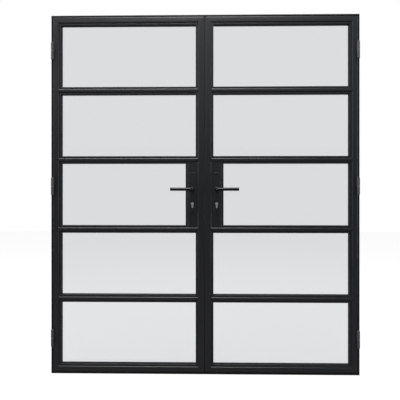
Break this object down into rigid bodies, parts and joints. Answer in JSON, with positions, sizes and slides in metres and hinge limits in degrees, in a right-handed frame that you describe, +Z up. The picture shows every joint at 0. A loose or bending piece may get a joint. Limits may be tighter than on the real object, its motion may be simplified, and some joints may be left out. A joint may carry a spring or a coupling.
{
  "type": "french doors with frame",
  "caption": "Slim black steel french doors in a thin frame: two side-hung glazed leaves with horizontal glazing bars, lever handles, key cylinders and barrel hinges.",
  "frame": {"origin": "middle of the foot of the frame, on the surface that the sill stands on", "axes": "+X across the doors to the right leaf, +Y from the front to the rear, +Z up; the hinge side that the leaves open towards faces -Y"},
  "size_m": [1.8, 0.1666, 2.1],
  "materials": {
    "black_coat": "satin black powder coat",
    "black_fittings": "smooth black coat",
    "hinge_coat": "satin dark grey coat",
    "satin_nickel": "satin nickel",
    "zinc_steel": "zinc plated",
    "turned_brass": "turned",
    "seal_rubber": "matt black",
    "pane_glass": "clear, faintly grey glass"
  },
  "bodies": {
    "frame": {"frame_head": "black_coat", "frame_sill": "black_coat", "frame_jamb_left": "black_coat", "frame_jamb_right": "black_coat", "frame_seal": "seal_rubber", "hinge_frame_knuckles": "hinge_coat", "hinge_pins": "zinc_steel", "hinge_washers": "zinc_steel", "rod_keepers": "zinc_steel"},
    "left_leaf": {"left_hinge_stile": "black_coat", "left_meeting_stile": "black_coat", "left_top_rail": "black_coat", "left_bottom_rail": "black_coat", "left_glazing_bars": "black_coat", "left_glazing_beads": "black_coat", "left_rear_stops": "black_coat", "left_gaskets": "seal_rubber", "left_glass_panes": "pane_glass", "left_hinge_knuckles": "hinge_coat", "left_lock_box": "black_coat", "left_lock_case": "zinc_steel", "left_strike_plate": "satin_nickel", "left_cylinder_body": "satin_nickel", "left_plate_front": "black_coat", "left_plate_rear": "black_coat", "left_plate_screws": "black_fittings", "left_face_screws": "satin_nickel"},
    "left_handle": {"left_lever_front": "black_fittings", "left_lever_rear": "black_fittings", "left_spindle": "zinc_steel", "left_follower": "turned_brass"},
    "left_key_plug": {"left_cylinder_plug": "satin_nickel"},
    "rod_top": {"left_rod_top": "zinc_steel"},
    "rod_bottom": {"left_rod_bottom": "zinc_steel"},
    "right_leaf": {"right_hinge_stile": "black_coat", "right_meeting_stile": "black_coat", "right_top_rail": "black_coat", "right_bottom_rail": "black_coat", "right_glazing_bars": "black_coat", "right_glazing_beads": "black_coat", "right_rear_stops": "black_coat", "right_gaskets": "seal_rubber", "right_glass_panes": "pane_glass", "right_hinge_knuckles": "hinge_coat", "right_lock_box": "black_coat", "right_lock_case": "zinc_steel", "right_faceplate": "satin_nickel", "right_cylinder_body": "satin_nickel", "right_plate_front": "black_coat", "right_plate_rear": "black_coat", "right_plate_screws": "black_fittings", "right_face_screws": "satin_nickel", "right_meeting_seal": "seal_rubber"},
    "right_handle": {"right_lever_front": "black_fittings", "right_lever_rear": "black_fittings", "right_spindle": "zinc_steel", "right_follower": "turned_brass"},
    "right_key_plug": {"right_cylinder_plug": "satin_nickel"},
    "latch": {"right_latch_bolt": "satin_nickel"},
    "dead_bolt": {"right_dead_bolt": "satin_nickel"}
  },
  "joints": [
    {"name": "left_leaf_swing", "type": "hinge", "parent": "frame", "child": "left_leaf", "pos_m": [-0.8915, -0.0336, 1.05], "axis": [0, 0, -1], "range_deg": [0, 160], "deforming": ["right_meeting_seal"]},
    {"name": "right_leaf_swing", "type": "hinge", "parent": "frame", "child": "right_leaf", "pos_m": [0.8915, -0.0336, 1.05], "axis": [0, 0, 1], "range_deg": [0, 160], "deforming": ["right_meeting_seal"]},
    {"name": "left_lever_turn", "type": "hinge", "parent": "left_leaf", "child": "left_handle", "pos_m": [-0.071, 0, 1.081], "axis": [0, -1, 0], "range_deg": [0, 45], "stiffness_Nm_per_rad": 1.5, "springref_deg": -28.65},
    {"name": "right_lever_turn", "type": "hinge", "parent": "right_leaf", "child": "right_handle", "pos_m": [0.071, 0, 1.081], "axis": [0, 1, 0], "range_deg": [0, 45], "stiffness_Nm_per_rad": 1.5, "springref_deg": -28.65},
    {"name": "left_key_turn", "type": "hinge", "parent": "left_leaf", "child": "left_key_plug", "pos_m": [-0.071, 0, 0.996], "axis": [0, -1, 0], "range_deg": [0, 360]},
    {"name": "right_key_turn", "type": "hinge", "parent": "right_leaf", "child": "right_key_plug", "pos_m": [0.071, 0, 0.996], "axis": [0, 1, 0], "range_deg": [0, 360]},
    {"name": "rod_top_slide", "type": "slide", "parent": "left_leaf", "child": "rod_top", "axis": [0, 0, -1], "range_m": [0, 0.012]},
    {"name": "rod_bottom_slide", "type": "slide", "parent": "left_leaf", "child": "rod_bottom", "axis": [0, 0, 1], "range_m": [0, 0.012]},
    {"name": "latch_slide", "type": "slide", "parent": "right_leaf", "child": "latch", "axis": [1, 0, 0], "range_m": [0, 0.011]},
    {"name": "dead_bolt_slide", "type": "slide", "parent": "right_leaf", "child": "dead_bolt", "axis": [-1, 0, 0], "range_m": [0, 0.02]}
  ],
  "couplings": [
    {"joint": "rod_top_slide", "follows": "left_lever_turn", "m_per_rad": 0.01527},
    {"joint": "rod_bottom_slide", "follows": "left_lever_turn", "m_per_rad": 0.01527},
    {"joint": "latch_slide", "follows": "right_lever_turn", "m_per_rad": 0.014},
    {"joint": "right_key_turn", "follows": "dead_bolt_slide", "rad_per_m": 314}
  ]
}
